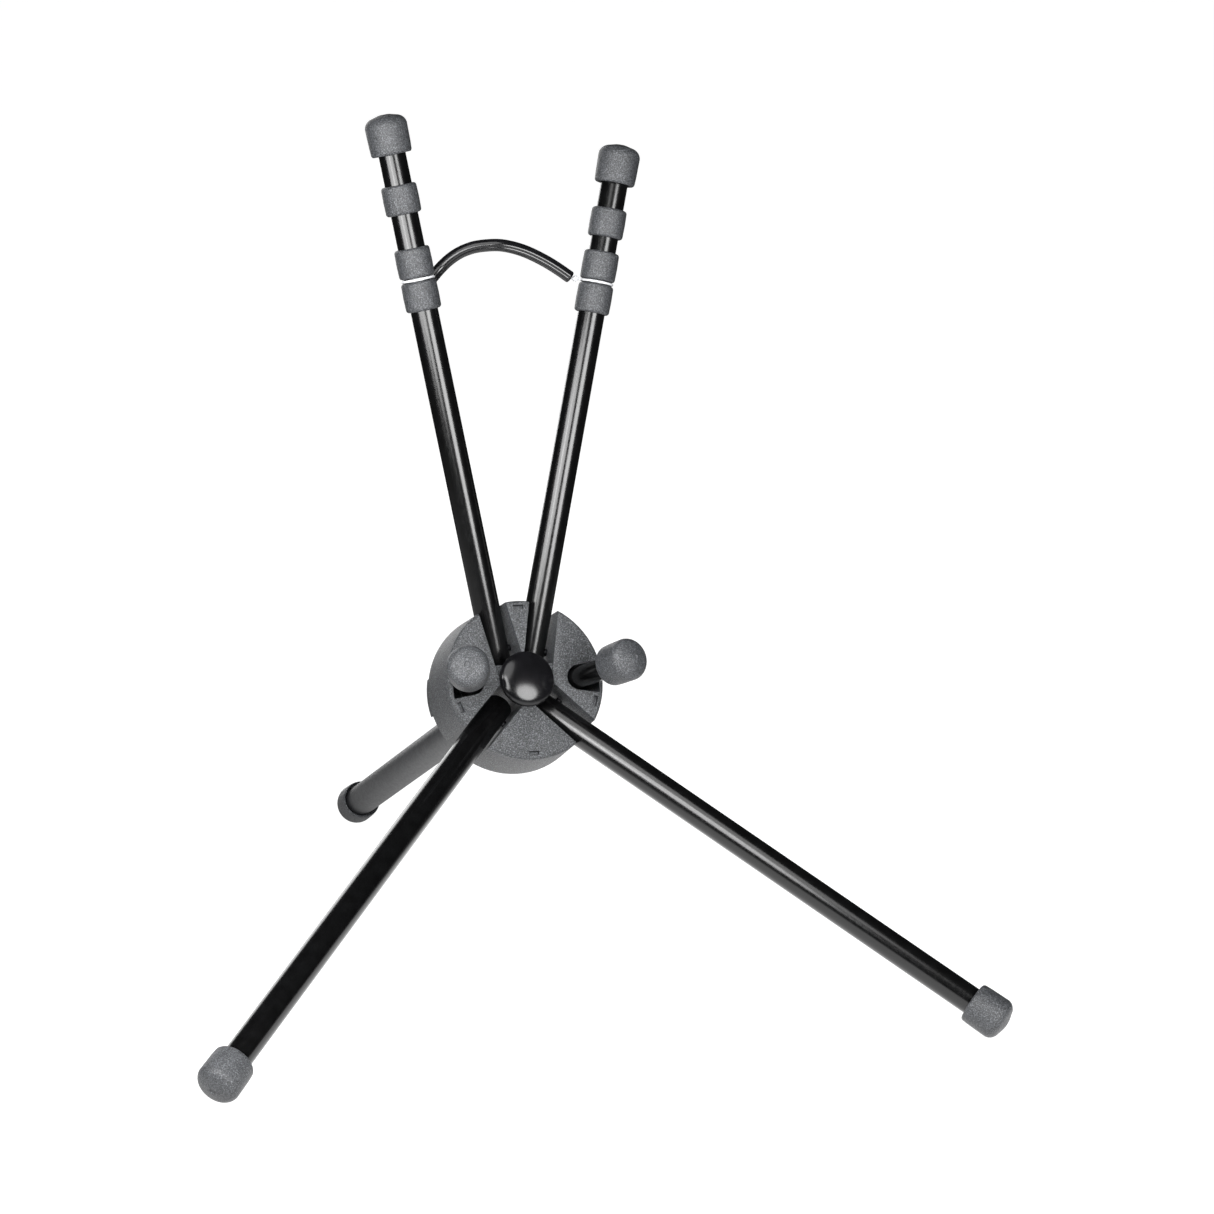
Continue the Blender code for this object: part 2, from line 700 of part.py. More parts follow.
# ---------------------------------------------------------------- hub: rear cover
cover_top = BACK_Z - GAP
cover_profile = [
    (0.0, cover_top),
    (COVER_RADIUS, cover_top),
    (COVER_RADIUS, cover_top - PLATE),
    (0.0, cover_top - PLATE),
]
cover = turned("hub_rear_cover", cover_profile, hub, HUB_PLASTIC, sides=HUB_SIDES)
for side in SIDE_SIGN:
    # a lobe behind each peg reaches the full radius and stands further back
    lobe_profile = [
        (LOBE_INNER_RADIUS, cover_top - OFFSET),
        (LOBE_RADIUS, cover_top - OFFSET),
        (LOBE_RADIUS, LOBE_BACK_Z),
        (LOBE_INNER_RADIUS, LOBE_BACK_Z),
    ]
    turn = Matrix.Rotation(math.radians(SKEW if side == "right" else 180.0 + SKEW), 4, "Z")
    lobe_frame = add_frame(f"{side}_lobe_frame", turn, hub)
    lobe = turned(
        f"{side}_lobe",
        lobe_profile,
        lobe_frame,
        collection=cutters,
        closed=True,
        sides=HUB_SIDES,
    )
    as_cutter(lobe)
    far = HUB_RADIUS * 2
    sweep = [math.radians(side_of * LOBE_HALF_ANGLE - SKEW) for side_of in (-1, 1)]
    wedge = [(0.0, 0.0)] + [(far, far * math.tan(angle)) for angle in sweep]
    keep = cut_prism(f"{side}_lobe_keep", wedge, -THROUGH, 0.0, lobe_frame)
    combine(lobe, keep, "INTERSECT")
    join(cover, lobe)
cut(cover, channel_cut("cover"))
socket_profile = [
    (0.0, SOCKET_FLOOR_Z),
    (SOCKET_RADIUS, SOCKET_FLOOR_Z),
    (SOCKET_RADIUS, SOCKET_END_Z),
    (0.0, SOCKET_END_Z),
]
socket = as_cutter(turned("socket", socket_profile, skew, collection=cutters))
socket_bore_profile = [
    (0.0, 0.0),
    (SCREW_RADIUS + GAP, 0.0),
    (SCREW_RADIUS + GAP, SOCKET_FLOOR_Z - PLATE),
    (REAR_RADIUS + GAP, SOCKET_FLOOR_Z - PLATE),
    (REAR_RADIUS + GAP, -THROUGH),
    (0.0, -THROUGH),
]
socket_bore = as_cutter(turned("socket_bore", socket_bore_profile, hub, collection=cutters))
cover_back = cover_top - PLATE
rib_outline = [
    (SOCKET_RADIUS - RIB_STEP, cover_back + RIB_STEP),
    (RIB_REACH, cover_back + RIB_STEP),
    (RIB_REACH, cover_back - RIB_STEP),
    (SOCKET_RADIUS - RIB_STEP, RIB_END_Z),
]
ribs = []
for number in range(4):
    turn = Matrix.Rotation(math.pi / 2 * number, 4, "Z")
    rib_frame = add_frame(f"rib_{number}_frame", turn, hub)
    ribs.append(
        cut_prism(f"rib_{number}", rib_outline, -RIB_HALF, RIB_HALF, rib_frame, along_x=True)
    )
cover_webs = webs("cover", cover_back + OFFSET, cover_top - OFFSET)
join(cover, socket, *cover_webs, *ribs, *tabs, *posts)
cut(cover, socket_bore)

# ---------------------------------------------------------------- screw and centre cap
head_low, head_high = SCREW_HEAD_Z
turned(
    "centre_screw",
    [
        (0.0, head_high),
        (SCREW_HEAD_RADIUS, head_high),
        (SCREW_HEAD_RADIUS, head_low),
        (SCREW_RADIUS, head_low),
        (SCREW_RADIUS, SCREW_END_Z),
        (0.0, SCREW_END_Z),
    ],
    hub,
    ZINC,
)
dome_base = FACE_Z + GAP
dome_rise = [
    (DOME_RADIUS * math.sin(t), dome_base + DOME_LIP + (DOME_HEIGHT - DOME_LIP) * math.cos(t))
    for t in (math.radians(a) for a in range(0, 91, 15))
]
turned(
    "centre_cap",
    [
        *dome_rise,
        (DOME_RADIUS, dome_base),
        (SCREW_HEAD_RADIUS, dome_base),
        (SCREW_HEAD_RADIUS, head_high + GAP),
        (0.0, head_high + GAP),
    ],
    hub,
    GLOSS_PLASTIC,
)

# ---------------------------------------------------------------- retaining cord
splay, lean = math.radians(ARM_SPLAY), math.radians(ARM_LEAN)


def groove_point(side):
    way = tube_direction(SIDE_SIGN[side], ARM_SPLAY, ARM_LEAN, 1)
    return Vector((SIDE_SIGN[side] * ARM_BASE[0], ARM_BASE[1], 0.0)) + way * CORD_GROOVE[side]


across = Vector((1.0, 0.0, 0.0))
rise = Vector((0.0, math.cos(splay) * math.cos(lean), math.sin(lean))).normalized()
forward = across.cross(rise)


def smooth_route(points, count):
    """Evenly spaced points on a smooth curve through a few route points."""
    padded = [points[0] * 2 - points[1], *points, points[-1] * 2 - points[-2]]
    fine = []
    for before, first, second, after in zip(padded, padded[1:], padded[2:], padded[3:]):
        for step in range(12):
            t = step / 12
            fine.append(
                first
                + (second - before) * (t / 2)
                + (before * 2 - first * 5 + second * 4 - after) * (t * t / 2)
                + (first * 3 - before - second * 3 + after) * (t * t * t / 2)
            )
    fine.append(points[-1])
    lengths = [0.0]
    for first, second in zip(fine, fine[1:]):
        lengths.append(lengths[-1] + (second - first).length)
    even = []
    for number in range(count):
        wanted = lengths[-1] * number / (count - 1)
        index = max(i for i, length in enumerate(lengths[:-1]) if length <= wanted)
        share = (wanted - lengths[index]) / (lengths[index + 1] - lengths[index])
        even.append(fine[index].lerp(fine[index + 1], share))
    return even


def cord(name, points, radius, material):
    curve = bpy.data.curves.new(name, "CURVE")
    curve.dimensions = "3D"
    curve.bevel_depth = radius
    curve.bevel_resolution = 2
    curve.use_fill_caps = True
    spline = curve.splines.new("POLY")
    spline.points.add(len(points) - 1)
    for point, place in zip(spline.points, points):
        point.co = (*place, 1.0)
    return add_object(name, curve, hub, material)


start = groove_point("left")
route = [start + across * x + rise * y + forward * z for x, y, z in SLEEVE_ROUTE]
sleeve = smooth_route(route, SLEEVE_POINTS)
cord("cord_sleeve", sleeve, SLEEVE_RADIUS, VINYL)

# a loop of the inner cord lies in each arm's groove, and its two ends show beside the sleeve
loop_radius = TUBE_RADIUS + GAP + LOOP_CORD_RADIUS
for side in SIDE_SIGN:
    middle = CORD_GROOVE[side] - arm_shift
    loop = arc((loop_radius, middle), LOOP_CORD_RADIUS, 0, -315, 7)
    turned(f"{side}_cord_loop", loop, hinges[side, "arm"], CLEAR_CORD, closed=True)


def end_stretch(side, sleeve_end, sleeve_next):
    """A straight stretch of the inner cord from beside a loop to the sleeve's end face."""
    way = tube_direction(SIDE_SIGN[side], ARM_SPLAY, ARM_LEAN, 1)
    groove = groove_point(side)
    out_way = (sleeve_end - sleeve_next).normalized()
    near_sleeve = sleeve_end + out_way * LOOP_CORD_RADIUS
    towards = near_sleeve - groove
    towards -= way * towards.dot(way)
    near_loop = groove + towards.normalized() * (loop_radius + LOOP_CORD_RADIUS + GAP * 2)
    return near_sleeve, near_loop


left_near, left_far = end_stretch("left", sleeve[0], sleeve[1])
cord("left_cord_end", [left_far, left_near], LOOP_CORD_RADIUS, CLEAR_CORD)
right_near, right_far = end_stretch("right", sleeve[-1], sleeve[-2])
knot_place = right_near.lerp(right_far, 0.45)
knot_half = (right_far - right_near).normalized() * KNOT_RADIUS
cord("right_cord_end", [knot_place + knot_half * 1.25, right_far], LOOP_CORD_RADIUS, CLEAR_CORD)
cord("cord_throat", [right_near, knot_place - knot_half * 1.25], LOOP_CORD_RADIUS, CLEAR_CORD)
cord("cord_knot", [knot_place - knot_half, knot_place + knot_half], KNOT_RADIUS, CLEAR_CORD)

# ---------------------------------------------------------------- stand it on its feet
hub.matrix_local = Matrix.Translation((0.0, 0.0, HUB_HEIGHT)) @ hub_turn
bpy.context.view_layer.update()
depsgraph = bpy.context.evaluated_depsgraph_get()
corners = []
for thing in stand.objects:
    if thing.type == "EMPTY":
        continue
    shown = thing.evaluated_get(depsgraph)
    shape = shown.to_mesh()
    corners += [thing.matrix_world @ vertex.co for vertex in shape.vertices]
    shown.to_mesh_clear()
middle = [(min(c[i] for c in corners) + max(c[i] for c in corners)) / 2 for i in (0, 1)]
hub.matrix_local = Matrix.Translation((-middle[0], -middle[1], HUB_HEIGHT)) @ hub_turn
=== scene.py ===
"""The folding saxophone stand's look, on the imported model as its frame.

The hub's own frame has Z along its axis, towards the player, and Y up its face. Sizes are in
metres.
"""

import json
import math

import bmesh
import bpy
from mathutils import Matrix, Vector


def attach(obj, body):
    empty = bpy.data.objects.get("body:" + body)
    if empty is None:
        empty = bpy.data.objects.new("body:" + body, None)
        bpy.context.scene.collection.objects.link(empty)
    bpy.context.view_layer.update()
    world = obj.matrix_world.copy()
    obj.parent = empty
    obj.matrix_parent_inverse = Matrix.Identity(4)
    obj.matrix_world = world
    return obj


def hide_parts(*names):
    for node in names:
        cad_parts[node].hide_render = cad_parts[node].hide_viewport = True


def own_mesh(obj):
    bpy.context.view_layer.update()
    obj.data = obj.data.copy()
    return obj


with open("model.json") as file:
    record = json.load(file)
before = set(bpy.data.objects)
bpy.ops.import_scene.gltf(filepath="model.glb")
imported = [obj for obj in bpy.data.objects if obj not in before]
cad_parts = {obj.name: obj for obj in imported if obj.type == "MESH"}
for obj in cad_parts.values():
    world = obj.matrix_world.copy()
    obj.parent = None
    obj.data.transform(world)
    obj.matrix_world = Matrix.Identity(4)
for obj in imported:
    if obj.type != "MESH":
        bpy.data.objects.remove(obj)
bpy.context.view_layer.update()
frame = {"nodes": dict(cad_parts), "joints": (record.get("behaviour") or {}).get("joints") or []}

# ---------------------------------------------------------------- dimensions of the frame
HUB_TILT = math.radians(24.9)
ARM_BASE = (0.0072, 0.01055)
ARM_SPLAY, ARM_LEAN = math.radians(11.95), math.radians(17.3)
LEG_BASE = (0.0072, -0.00637)
LEG_SPLAY, LEG_LEAN = math.radians(44.5), math.radians(20.6)
PEG_ELEVATION = math.radians(71.6)
PEG_RADIAL, PEG_DEPTH = 0.0196, -0.0020  # the pegs' hinges in the hub's frame
ARM_TIP = {"left": 0.2437, "right": 0.2312}
LEG_TIP = 0.2500
PEG_TIP = 0.0573
UPPER_RING = {"left": 0.2066, "right": 0.1962}
CORD_GROOVE = {"left": 0.1718, "right": 0.1698}
GROOVE_WIDTH = 0.0017
ARM_HINGE, LEG_HINGE = 0.0055, 0.0085
TUBE_RADIUS, TUBE_WALL, INNER_END = 0.0060, 0.0010, 0.0062
PEG_RADIUS, PEG_INNER_END = 0.00475, 0.0038
REAR_RADIUS, REAR_START = 0.0076, 0.0120
CAP_RADIUS, CAP_LENGTH, CAP_FLOOR = 0.0093, 0.0175, 0.0030
REAR_CAP_RADIUS, REAR_CAP_LENGTH = 0.0099, 0.0180
RING_RADIUS, RING_LENGTH = 0.00785, 0.0128
FACE_Z = 0.0150
SCREW_HEAD_TOP = 0.0122
SCREW_HEAD_BORE = 0.0050
DOME_RADIUS, DOME_HEIGHT = 0.0122, 0.0044
SLEEVE_RADIUS, CORD_RADIUS = 0.0027, 0.00055
GAP = 0.0003
SIDES = {"left": -1, "right": 1}

# ---------------------------------------------------------------- dimensions of the visible detail
TUBE_EDGE = 0.00018  # the rounding of a tube's cut ends
CAP_LIP, REAR_CAP_LIP = 0.0009, 0.0014  # how far a rubber end's mouth flares
CROWN_DIP = 0.00012  # a rubber end's crown stays this far below its tip
GATE_RADIUS, GATE_FLOOR_RADIUS, GATE_DEPTH = 0.0014, 0.0011, 0.00040  # the dimple in the crown
RING_CORNER, RING_BARREL = 0.0013, 0.00012  # a ring's ends are this much slimmer than its middle
DOME_RIM, DOME_SKIRT = 0.0012, 0.0009  # the heights of the dome's widest point and its wall
SHELL_EDGE, COVER_EDGE = 0.0003, 0.00025  # the width of the moulded pieces' rounded edges
CORNER_SHARE = 0.49  # how much of a side one rounded corner may take
WELD_DISTANCE = 0.000002  # vertices of a CAD mesh closer than this are one
FLAT_TURN, EDGE_TURN = math.radians(0.5), math.radians(25.0)  # a face's own, and a real edge's
ON_AXIS = 1e-7  # a ring of vertices smaller than this is one point

joints = {joint["name"]: joint for joint in frame["joints"]}


def joint_place(name):
    return Vector(joints[name]["pos_m"])


hub_turn = Matrix.Rotation(math.pi / 2 - HUB_TILT, 4, "X")
pegs_middle = (joint_place("left_peg_tilt") + joint_place("right_peg_tilt")) / 2
hub_place = pegs_middle - hub_turn.to_3x3() @ Vector((0.0, 0.0, PEG_DEPTH))
hub = Matrix.Translation(hub_place) @ hub_turn


def tube_direction(side, splay, lean, upward):
    flat = Vector((side * math.sin(splay), upward * math.cos(splay), 0.0))
    return flat * math.cos(lean) + Vector((0.0, 0.0, math.sin(lean)))


def along(place, direction):
    """A matrix in the row frame with Z along a direction of the hub's frame, from a point in it."""
    turn = direction.to_track_quat("Z", "Y").to_matrix().to_4x4()
    return hub @ Matrix.Translation(place) @ turn


arm_axis, leg_axis, peg_axis = {}, {}, {}
for side, sign in SIDES.items():
    way = tube_direction(sign, ARM_SPLAY, ARM_LEAN, 1)
    arm_axis[side] = along(Vector((sign * ARM_BASE[0], ARM_BASE[1], 0.0)), way)
    way = tube_direction(sign, LEG_SPLAY, LEG_LEAN, -1)
    leg_axis[side] = along(Vector((sign * LEG_BASE[0], LEG_BASE[1], 0.0)), way)
    way = Vector((sign * math.cos(PEG_ELEVATION), 0.0, math.sin(PEG_ELEVATION)))
    peg_axis[side] = along(Vector((sign * PEG_RADIAL, 0.0, PEG_DEPTH)), way)
rear_axis = along(Vector((0.0, 0.0, 0.0)), Vector((0.0, 0.0, -1.0)))
arm_start = ARM_HINGE / math.cos(ARM_LEAN) - INNER_END
leg_start = LEG_HINGE / math.cos(LEG_LEAN) - INNER_END

# ---------------------------------------------------------------- camera
SENSOR_WIDTH, LENS = 36.0, 105.41  # in millimetres
CAMERA_FROM_HUB = Vector((-0.48239, -1.44412, 0.34219))
CAMERA_BACK = Vector((-0.33424, -0.92176, 0.19657))
CAMERA_RIGHT = Vector((0.94177, -0.33476, 0.03159))

camera_data = bpy.data.cameras.new("camera")
camera_data.sensor_width = SENSOR_WIDTH
camera_data.lens = LENS
camera = bpy.data.objects.new("camera", camera_data)
bpy.context.scene.collection.objects.link(camera)
back, right = CAMERA_BACK.normalized(), CAMERA_RIGHT.normalized()
upward = back.cross(right).normalized()
camera_turn = Matrix((right, upward, back)).transposed().to_4x4()
camera.matrix_world = Matrix.Translation(hub_place + CAMERA_FROM_HUB) @ camera_turn
bpy.context.scene.camera = camera


# ---------------------------------------------------------------- materials
def material(name, roughness, metallic=0.0):
    made = bpy.data.materials.new(name)
    made.use_nodes = True
    tree = made.node_tree
    shader = tree.nodes["Principled BSDF"]
    shader.inputs["Roughness"].default_value = roughness
    shader.inputs["Metallic"].default_value = metallic
    return made, tree, shader


def noise(tree, scale, detail=2.0, stretch=(1.0, 1.0, 1.0), roughness=0.5):
    place = tree.nodes.new("ShaderNodeTexCoord")
    mapping = tree.nodes.new("ShaderNodeMapping")
    mapping.inputs["Scale"].default_value = stretch
    texture = tree.nodes.new("ShaderNodeTexNoise")
    texture.inputs["Scale"].default_value = scale
    texture.inputs["Detail"].default_value = detail
    texture.inputs["Roughness"].default_value = roughness
    tree.links.new(place.outputs["Object"], mapping.inputs["Vector"])
    tree.links.new(mapping.outputs["Vector"], texture.inputs["Vector"])
    return texture.outputs["Fac"]


def ramp(tree, value, stops):
    made = tree.nodes.new("ShaderNodeValToRGB")
    elements = made.color_ramp.elements
    while len(elements) < len(stops):
        elements.new(0.5)
    for element, (position, colour) in zip(elements, stops):
        element.position = position
        element.color = (*colour, 1.0)
    tree.links.new(value, made.inputs["Fac"])
    return made.outputs["Color"]


def spread(tree, value, low, high, start=0.3, end=0.7):
    made = tree.nodes.new("ShaderNodeMapRange")
    made.inputs["From Min"].default_value = start
    made.inputs["From Max"].default_value = end
    made.inputs["To Min"].default_value = low
    made.inputs["To Max"].default_value = high
    tree.links.new(value, made.inputs["Value"])
    return made.outputs["Result"]


def bump(tree, shader, value, depth, strength=1.0, under=None):
    made = tree.nodes.new("ShaderNodeBump")
    made.inputs["Distance"].default_value = depth
    made.inputs["Strength"].default_value = strength
    tree.links.new(value, made.inputs["Height"])
    if under:
        tree.links.new(under, made.inputs["Normal"])
    tree.links.new(made.outputs["Normal"], shader.inputs["Normal"])
    return made.outputs["Normal"]


def painted_steel(name, dark, light, rough_low, rough_high, stretch=(1.0, 1.0, 0.35)):
    """Enamel with a faint orange peel, dust specks and fine rubbed lines along its length."""
    made, tree, shader = material(name, rough_low)
    wear = noise(tree, scale=160.0, detail=4.0)
    colour = ramp(tree, wear, [(0.35, dark), (0.75, light)])
    tree.links.new(colour, shader.inputs["Base Color"])
    streak = noise(tree, scale=900.0, detail=3.0, stretch=stretch)
    tree.links.new(spread(tree, streak, rough_low, rough_high), shader.inputs["Roughness"])
    peel = bump(tree, shader, noise(tree, scale=420.0), depth=0.00001, strength=0.15)
    specks = noise(tree, scale=2600.0, detail=1.0)
    bump(tree, shader, specks, depth=0.000004, strength=0.10, under=peel)
    return made


def grained(name, dark, middle, light, roughness, scale, depth, strength, glint=0.5):
    """Spark-eroded grain, as on moulded plastic and rubber: pits with finer ones between them."""
    made, tree, shader = material(name, roughness)
    coarse = noise(tree, scale, detail=3.0, roughness=0.62)
    fine = noise(tree, scale * 2.7)
    patches = noise(tree, scale=130.0, detail=3.0)
    colour = ramp(tree, coarse, [(0.34, dark), (0.52, middle), (0.70, light)])
    blend = tree.nodes.new("ShaderNodeMix")
    blend.data_type = "RGBA"
    blend.blend_type = "MULTIPLY"
    blend.inputs["Factor"].default_value = 0.35
    tree.links.new(colour, blend.inputs["A"])
    tree.links.new(
        ramp(tree, patches, [(0.3, (0.72, 0.73, 0.75)), (0.7, (1.0, 1.0, 1.0))]),
        blend.inputs["B"],
    )
    tree.links.new(blend.outputs["Result"], shader.inputs["Base Color"])
    rough = spread(tree, fine, roughness - 0.10, roughness + 0.08)
    tree.links.new(rough, shader.inputs["Roughness"])
    first = bump(tree, shader, coarse, depth, strength)
    bump(tree, shader, fine, depth * 0.5, strength * 0.7, under=first)
    shader.inputs["Specular IOR Level"].default_value = glint
    return made


def gloss(name, dark, light, roughness, glint=0.5):
    """A smooth moulded surface, slightly uneven in colour and shine."""
    made, tree, shader = material(name, roughness)
    cloud = noise(tree, scale=220.0, detail=3.0)
    colour = ramp(tree, cloud, [(0.3, dark), (0.8, light)])
    tree.links.new(colour, shader.inputs["Base Color"])
    rough = spread(tree, noise(tree, scale=1500.0), roughness * 0.9, roughness * 1.25)
    tree.links.new(rough, shader.inputs["Roughness"])
    bump(tree, shader, cloud, depth=0.00002, strength=0.06)
    shader.inputs["Specular IOR Level"].default_value = glint
    return made


def plated(name, dark, light):
    """Zinc-plated steel with a cloudy shine."""
    made, tree, shader = material(name, roughness=0.3, metallic=1.0)
    cloud = noise(tree, scale=500.0, detail=4.0)
    colour = ramp(tree, cloud, [(0.3, dark), (0.8, light)])
    tree.links.new(colour, shader.inputs["Base Color"])
    tree.links.new(spread(tree, cloud, 0.22, 0.42), shader.inputs["Roughness"])
    bump(tree, shader, noise(tree, scale=2500.0), depth=0.00003, strength=0.3)
    return made


BLACK = painted_steel(
    "black_enamel",
    dark=(0.0014, 0.0014, 0.0015),
    light=(0.0030, 0.0031, 0.0033),
    rough_low=0.17,
    rough_high=0.23,
)
GREY = painted_steel(
    "grey_enamel",
    dark=(0.023, 0.024, 0.026),
    light=(0.040, 0.042, 0.045),
    rough_low=0.40,
    rough_high=0.52,
    stretch=(1.0, 1.0, 1.0),
)
HUB = grained(
    "hub_grain",
    dark=(0.006, 0.0065, 0.007),
    middle=(0.040, 0.042, 0.045),
    light=(0.17, 0.178, 0.19),
    roughness=0.50,
    scale=1900.0,
    depth=0.00034,
    strength=1.0,
)
COVER = grained(
    "cover_grain",
    dark=(0.008, 0.0085, 0.009),
    middle=(0.034, 0.036, 0.039),
    light=(0.10, 0.105, 0.113),
    roughness=0.56,
    scale=2000.0,
    depth=0.00022,
    strength=0.8,
    glint=0.4,
)
RUBBER = grained(
    "rubber_grain",
    dark=(0.010, 0.0105, 0.0115),
    middle=(0.046, 0.048, 0.052),
    light=(0.16, 0.167, 0.178),
    roughness=0.50,
    scale=2000.0,
    depth=0.00020,
    strength=0.9,
)
NYLON = grained(
    "nylon_matte",
    dark=(0.010, 0.010, 0.011),
    middle=(0.018, 0.018, 0.020),
    light=(0.03, 0.03, 0.032),
    roughness=0.5,
    scale=2600.0,
    depth=0.00005,
    strength=0.3,
)
DOME = gloss(
    "dome_gloss", (0.003, 0.003, 0.0035), (0.006, 0.006, 0.007), roughness=0.16, glint=0.38
)
VINYL = gloss("vinyl_gloss", (0.003, 0.003, 0.0035), (0.007, 0.007, 0.008), roughness=0.17)
CORD = gloss("clear_cord_gloss", (0.55, 0.56, 0.58), (0.80, 0.81, 0.83), roughness=0.28)
ZINC = plated("zinc_plate", (0.42, 0.43, 0.45), (0.66, 0.67, 0.70))
# the pins' zinc is painted near black as painted shade, so their ends stay dark in the hub's
# channels
PIN_PAINTED_SHADE = plated("zinc_pin_painted_shade", (0.035, 0.036, 0.038), (0.07, 0.072, 0.076))


# ---------------------------------------------------------------- making pieces
def finish_mesh(name, shape, surface, body, node, sharp=38.0):
    """A piece of the look from a finished shape, in place of a node of the frame."""
    bmesh.ops.recalc_face_normals(shape, faces=shape.faces)
    mesh = bpy.data.meshes.new(name)
    shape.to_mesh(mesh)
    shape.free()
    mesh.shade_smooth()
    mesh.set_sharp_from_angle(angle=math.radians(sharp))
    mesh.materials.append(surface)
    piece = bpy.data.objects.new(name, mesh)
    bpy.context.scene.collection.objects.link(piece)
    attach(piece, body)
    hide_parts(node)
    return piece


def arc(radial, height, radius, angles):
    """Points of an outline on a circular arc, none of them rounded again."""
    turns = [math.radians(angle) for angle in angles]
    return [(radial + radius * math.cos(t), height + radius * math.sin(t), 0.0) for t in turns]


def rounded(corners, steps=4):
    """An outline with rounded corners, from (radius, z, corner radius) points."""
    outline = []
    count = len(corners)
    for index, (radius, z, curve) in enumerate(corners):
        here = Vector((radius, z))
        if curve <= 0.0:
            outline.append((radius, z))
            continue
        before = Vector(corners[(index - 1) % count][:2])
        after = Vector(corners[(index + 1) % count][:2])
        first, second = (before - here).normalized(), (after - here).normalized()
        room = CORNER_SHARE * min((before - here).length, (after - here).length)
        reach = min(curve / math.tan(first.angle(second) / 2), room)
        start, end = here + first * reach, here + second * reach
        for step in range(steps + 1):
            t = step / steps
            point = start * (1 - t) ** 2 + here * (2 * t * (1 - t)) + end * t**2
            outline.append((point.x, point.y))
    return outline


def skin(shape, rings, closed=False):
    """Faces from each ring of vertices to the next; a ring may be one point."""
    pairs = list(zip(rings, rings[1:]))
    if closed:
        pairs.append((rings[-1], rings[0]))
    for first, second in pairs:
        count = max(len(first), len(second))
        for i in range(count):
            j = (i + 1) % count
            if len(first) == 1:
                shape.faces.new((first[0], second[i], second[j]))
            elif len(second) == 1:
                shape.faces.new((first[i], first[j], second[0]))
            else:
                shape.faces.new((first[i], first[j], second[j], second[i]))


def lathe_shape(outline, matrix, closed, segments=72):
    """An outline of (radius, z) points turned about a matrix's Z axis."""
    shape = bmesh.new()
    turns = [2 * math.pi * i / segments for i in range(segments)]
    rings = []
    for radius, z in outline:
        if radius < ON_AXIS:
            places = [Vector((0.0, 0.0, z))]
        else:
            places = [Vector((radius * math.cos(t), radius * math.sin(t), z)) for t in turns]
        rings.append([shape.verts.new(matrix @ place) for place in places])
    skin(shape, rings, closed)
    return shape


def lathe(name, corners, matrix, surface, body, node, closed=True, segments=72):
    shape = lathe_shape(rounded(corners), matrix, closed, segments)
    return finish_mesh(name, shape, surface, body, node)


def tube(side, part, start, tip, radius, matrix, body, surface=BLACK):
    """A limb's enamelled tube, from near its hinge to the floor of the rubber end on its tip."""
    inner, end = radius - TUBE_WALL, tip - CAP_FLOOR - GAP
    corners = [(inner, end), (radius, end), (radius, start), (inner, start)]
    return lathe(
        f"{side}_{part}_enamelled_tube",
        [(*corner, TUBE_EDGE) for corner in corners],
        matrix,
        surface,
        body,
        f"{side}_{part}_tube",
    )


def cup_corners(outer, length, bore, lip):
    """A rubber cup with its mouth towards -z, slightly waisted, with a gate mark on its crown."""
    # radius, z and corner radius: the outside is in shares of the cup's own radius and length
    return [
        (0.0, -GATE_DEPTH, 0.0),
        (GATE_FLOOR_RADIUS, -GATE_DEPTH, 0.0),
        (GATE_RADIUS, -CROWN_DIP, 0.0),
        (outer * 0.26, -outer * 0.024, outer * 0.3),
        *arc(outer * 0.50, -outer * 0.60, outer * 0.495, range(80, 0, -8)),
        (outer * 0.975, -length * 0.76, outer * 0.8),
        (outer * 0.955, -length + outer * 0.10, outer * 0.12),
        (outer * 0.90, -length, outer * 0.10),
        (bore + lip, -length, 0.0002),
        (bore, -length + lip * 1.3, 0.0003),
        (bore, -CAP_FLOOR, 0.0003),
        (0.0, -CAP_FLOOR, 0.0),
    ]


def cup(name, corners, tip, matrix, body, node, on_floor=False):
    """A rubber end on a limb's tip; a foot is cut off flat where it stands on the floor."""
    raised = [(radius, z + tip, curve) for radius, z, curve in corners]
    shape = lathe_shape(rounded(raised, 5), matrix, False)
    if on_floor:
        for vertex in shape.verts:
            vertex.co.z = max(vertex.co.z, 0.0)
    return finish_mesh(name, shape, RUBBER, body, node)


def ring(name, middle, matrix, body, node):
    """A rubber sleeve ring, slightly barrelled, with well rounded corners."""
    half, bore = RING_LENGTH / 2, TUBE_RADIUS + GAP
    corner_middle = RING_RADIUS - RING_BARREL - RING_CORNER
    round_end = arc(corner_middle, half - RING_CORNER, RING_CORNER, range(90, -1, -15))
    corners = [(bore, middle + half, 0.0002)]
    corners += [(radius, middle + z, curve) for radius, z, curve in round_end]
    corners.append((RING_RADIUS, middle, 0.0060))
    corners += [(radius, middle - z, curve) for radius, z, curve in reversed(round_end)]
    corners.append((bore, middle - half, 0.0002))
    return lathe(name, corners, matrix, RUBBER, body, node)


# ---------------------------------------------------------------- retaining cord
SLEEVE_PATH = [
    Vector(point)
    for point in (
        (-0.032763, -0.016814, 0.301878),
        (-0.028796, -0.015795, 0.306046),
        (-0.024696, -0.016450, 0.310198),
        (-0.020104, -0.017832, 0.313582),
        (-0.014945, -0.019540, 0.315826),
        (-0.009438, -0.021287, 0.316886),
        (-0.003848, -0.023090, 0.317200),
        (0.001866, -0.024067, 0.316303),
        (0.007481, -0.024573, 0.314620),
        (0.012872, -0.024978, 0.312296),
        (0.018100, -0.025325, 0.309614),
        (0.023137, -0.025629, 0.306586),
        (0.028037, -0.025903, 0.303335),
    )
]
LEFT_END = (Vector((-0.035739, -0.019092, 0.303169)), Vector((-0.033137, -0.016910, 0.301486)))
THROAT = (Vector((0.028418, -0.025933, 0.303041)), Vector((0.029112, -0.025888, 0.302960)))
KNOT = (Vector((0.029112, -0.025888, 0.302960)), Vector((0.031887, -0.025707, 0.302635)))
